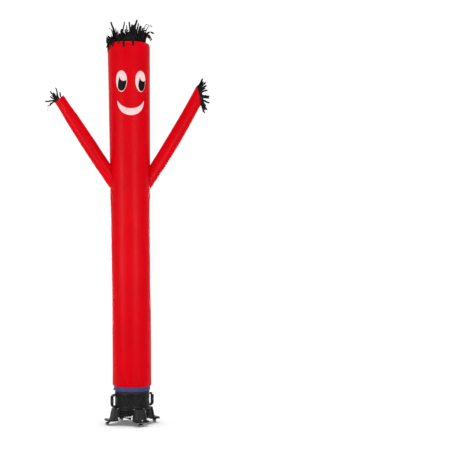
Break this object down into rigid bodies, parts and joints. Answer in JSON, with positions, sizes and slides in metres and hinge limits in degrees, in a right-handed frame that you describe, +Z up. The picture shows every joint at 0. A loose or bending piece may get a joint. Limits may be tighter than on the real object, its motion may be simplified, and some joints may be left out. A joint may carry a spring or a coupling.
{
  "type": "inflatable air dancer with floor blower",
  "caption": "Tall red inflatable tube figure with raised arms, a smiling face and black fringe hair, standing on a round ribbed blower with side handles and braked swivel casters.",
  "frame": {"origin": "on the floor, under the middle of the whole object", "axes": "+Z up, the face and the front of the blower towards -Y, the figure's height along +Z, +X towards the right of the front view"},
  "size_m": [1.4756, 0.487, 3.551],
  "materials": {
    "red_cloth": "satin woven nylon",
    "black_cloth": "plain woven cloth",
    "white_cloth": "plain woven cloth",
    "blue_cloth": "tightly woven webbing",
    "black_plastic": "fine moulded grain",
    "steel": "bright plated steel",
    "black_rubber": "smooth tread"
  },
  "bodies": {
    "machine": {"body_tube": "red_cloth", "arm_left": "red_cloth", "arm_right": "red_cloth", "hair_fringe": "black_cloth", "hand_fringe_left": "black_cloth", "hand_fringe_right": "black_cloth", "pupil_left": "black_cloth", "pupil_right": "black_cloth", "smile": "black_cloth", "neck_band": "black_cloth", "eye_white_left": "white_cloth", "eye_white_right": "white_cloth", "cuff": "blue_cloth", "outlet_flange": "black_plastic", "drum": "black_plastic", "handle_left": "black_plastic", "handle_right": "black_plastic", "base": "black_plastic", "grille_1": "black_plastic", "grille_2": "black_plastic", "grille_3": "black_plastic", "grille_4": "black_plastic", "motor": "black_plastic", "motor_bracket": "black_plastic", "flange_bolt_1": "steel", "flange_bolt_2": "steel", "flange_bolt_3": "steel", "flange_bolt_4": "steel", "flange_bolt_5": "steel", "flange_bolt_6": "steel", "flange_bolt_7": "steel", "flange_bolt_8": "steel", "tie_eye": "steel", "tie_ring": "black_rubber", "stem_1": "steel", "stem_2": "steel", "stem_3": "steel", "stem_4": "steel"},
    "caster_1": {"fork_1": "black_plastic", "axle_1": "steel"},
    "wheel_1": {"tyre_1": "black_rubber", "hub_1": "steel"},
    "brake_1": {"pedal_1": "black_plastic"},
    "caster_2": {"fork_2": "black_plastic", "axle_2": "steel"},
    "wheel_2": {"tyre_2": "black_rubber", "hub_2": "steel"},
    "brake_2": {"pedal_2": "black_plastic"},
    "caster_3": {"fork_3": "black_plastic", "axle_3": "steel"},
    "wheel_3": {"tyre_3": "black_rubber", "hub_3": "steel"},
    "brake_3": {"pedal_3": "black_plastic"},
    "caster_4": {"fork_4": "black_plastic", "axle_4": "steel"},
    "wheel_4": {"tyre_4": "black_rubber", "hub_4": "steel"},
    "brake_4": {"pedal_4": "black_plastic"}
  },
  "joints": [
    {"name": "swivel_1", "type": "hinge", "parent": "machine", "child": "caster_1", "pos_m": [0.08536, -0.2071, 0.0312], "axis": [0, 0, 1], "continuous": true},
    {"name": "spin_1", "type": "hinge", "parent": "caster_1", "child": "wheel_1", "pos_m": [0.07645, -0.20835, 0.0128], "axis": [0.1392, -0.9903, 0], "continuous": true},
    {"name": "brake_lever_1", "type": "hinge", "parent": "caster_1", "child": "brake_1", "pos_m": [0.06555, -0.20988, 0.024], "axis": [-0.1392, 0.9903, 0], "range_deg": [0, 20]},
    {"name": "swivel_2", "type": "hinge", "parent": "machine", "child": "caster_2", "pos_m": [0.2071, 0.08536, 0.0312], "axis": [0, 0, 1], "continuous": true},
    {"name": "spin_2", "type": "hinge", "parent": "caster_2", "child": "wheel_2", "pos_m": [0.1981, 0.08567, 0.0128], "axis": [-0.0349, -0.9994, 0], "continuous": true},
    {"name": "brake_lever_2", "type": "hinge", "parent": "caster_2", "child": "brake_2", "pos_m": [0.18711, 0.08606, 0.024], "axis": [0.0349, 0.9994, 0], "range_deg": [0, 20]},
    {"name": "swivel_3", "type": "hinge", "parent": "machine", "child": "caster_3", "pos_m": [-0.08536, 0.2071, 0.0312], "axis": [0, 0, 1], "continuous": true},
    {"name": "spin_3", "type": "hinge", "parent": "caster_3", "child": "wheel_3", "pos_m": [-0.09416, 0.20897, 0.0128], "axis": [-0.2079, -0.9781, 0], "continuous": true},
    {"name": "brake_lever_3", "type": "hinge", "parent": "caster_3", "child": "brake_3", "pos_m": [-0.10492, 0.21126, 0.024], "axis": [0.2079, 0.9781, 0], "range_deg": [0, 20]},
    {"name": "swivel_4", "type": "hinge", "parent": "machine", "child": "caster_4", "pos_m": [-0.2071, -0.08536, 0.0312], "axis": [0, 0, 1], "continuous": true},
    {"name": "spin_4", "type": "hinge", "parent": "caster_4", "child": "wheel_4", "pos_m": [-0.21583, -0.08754, 0.0128], "axis": [0.2419, -0.9703, 0], "continuous": true},
    {"name": "brake_lever_4", "type": "hinge", "parent": "caster_4", "child": "brake_4", "pos_m": [-0.2265, -0.0902, 0.024], "axis": [-0.2419, 0.9703, 0], "range_deg": [0, 20]}
  ]
}
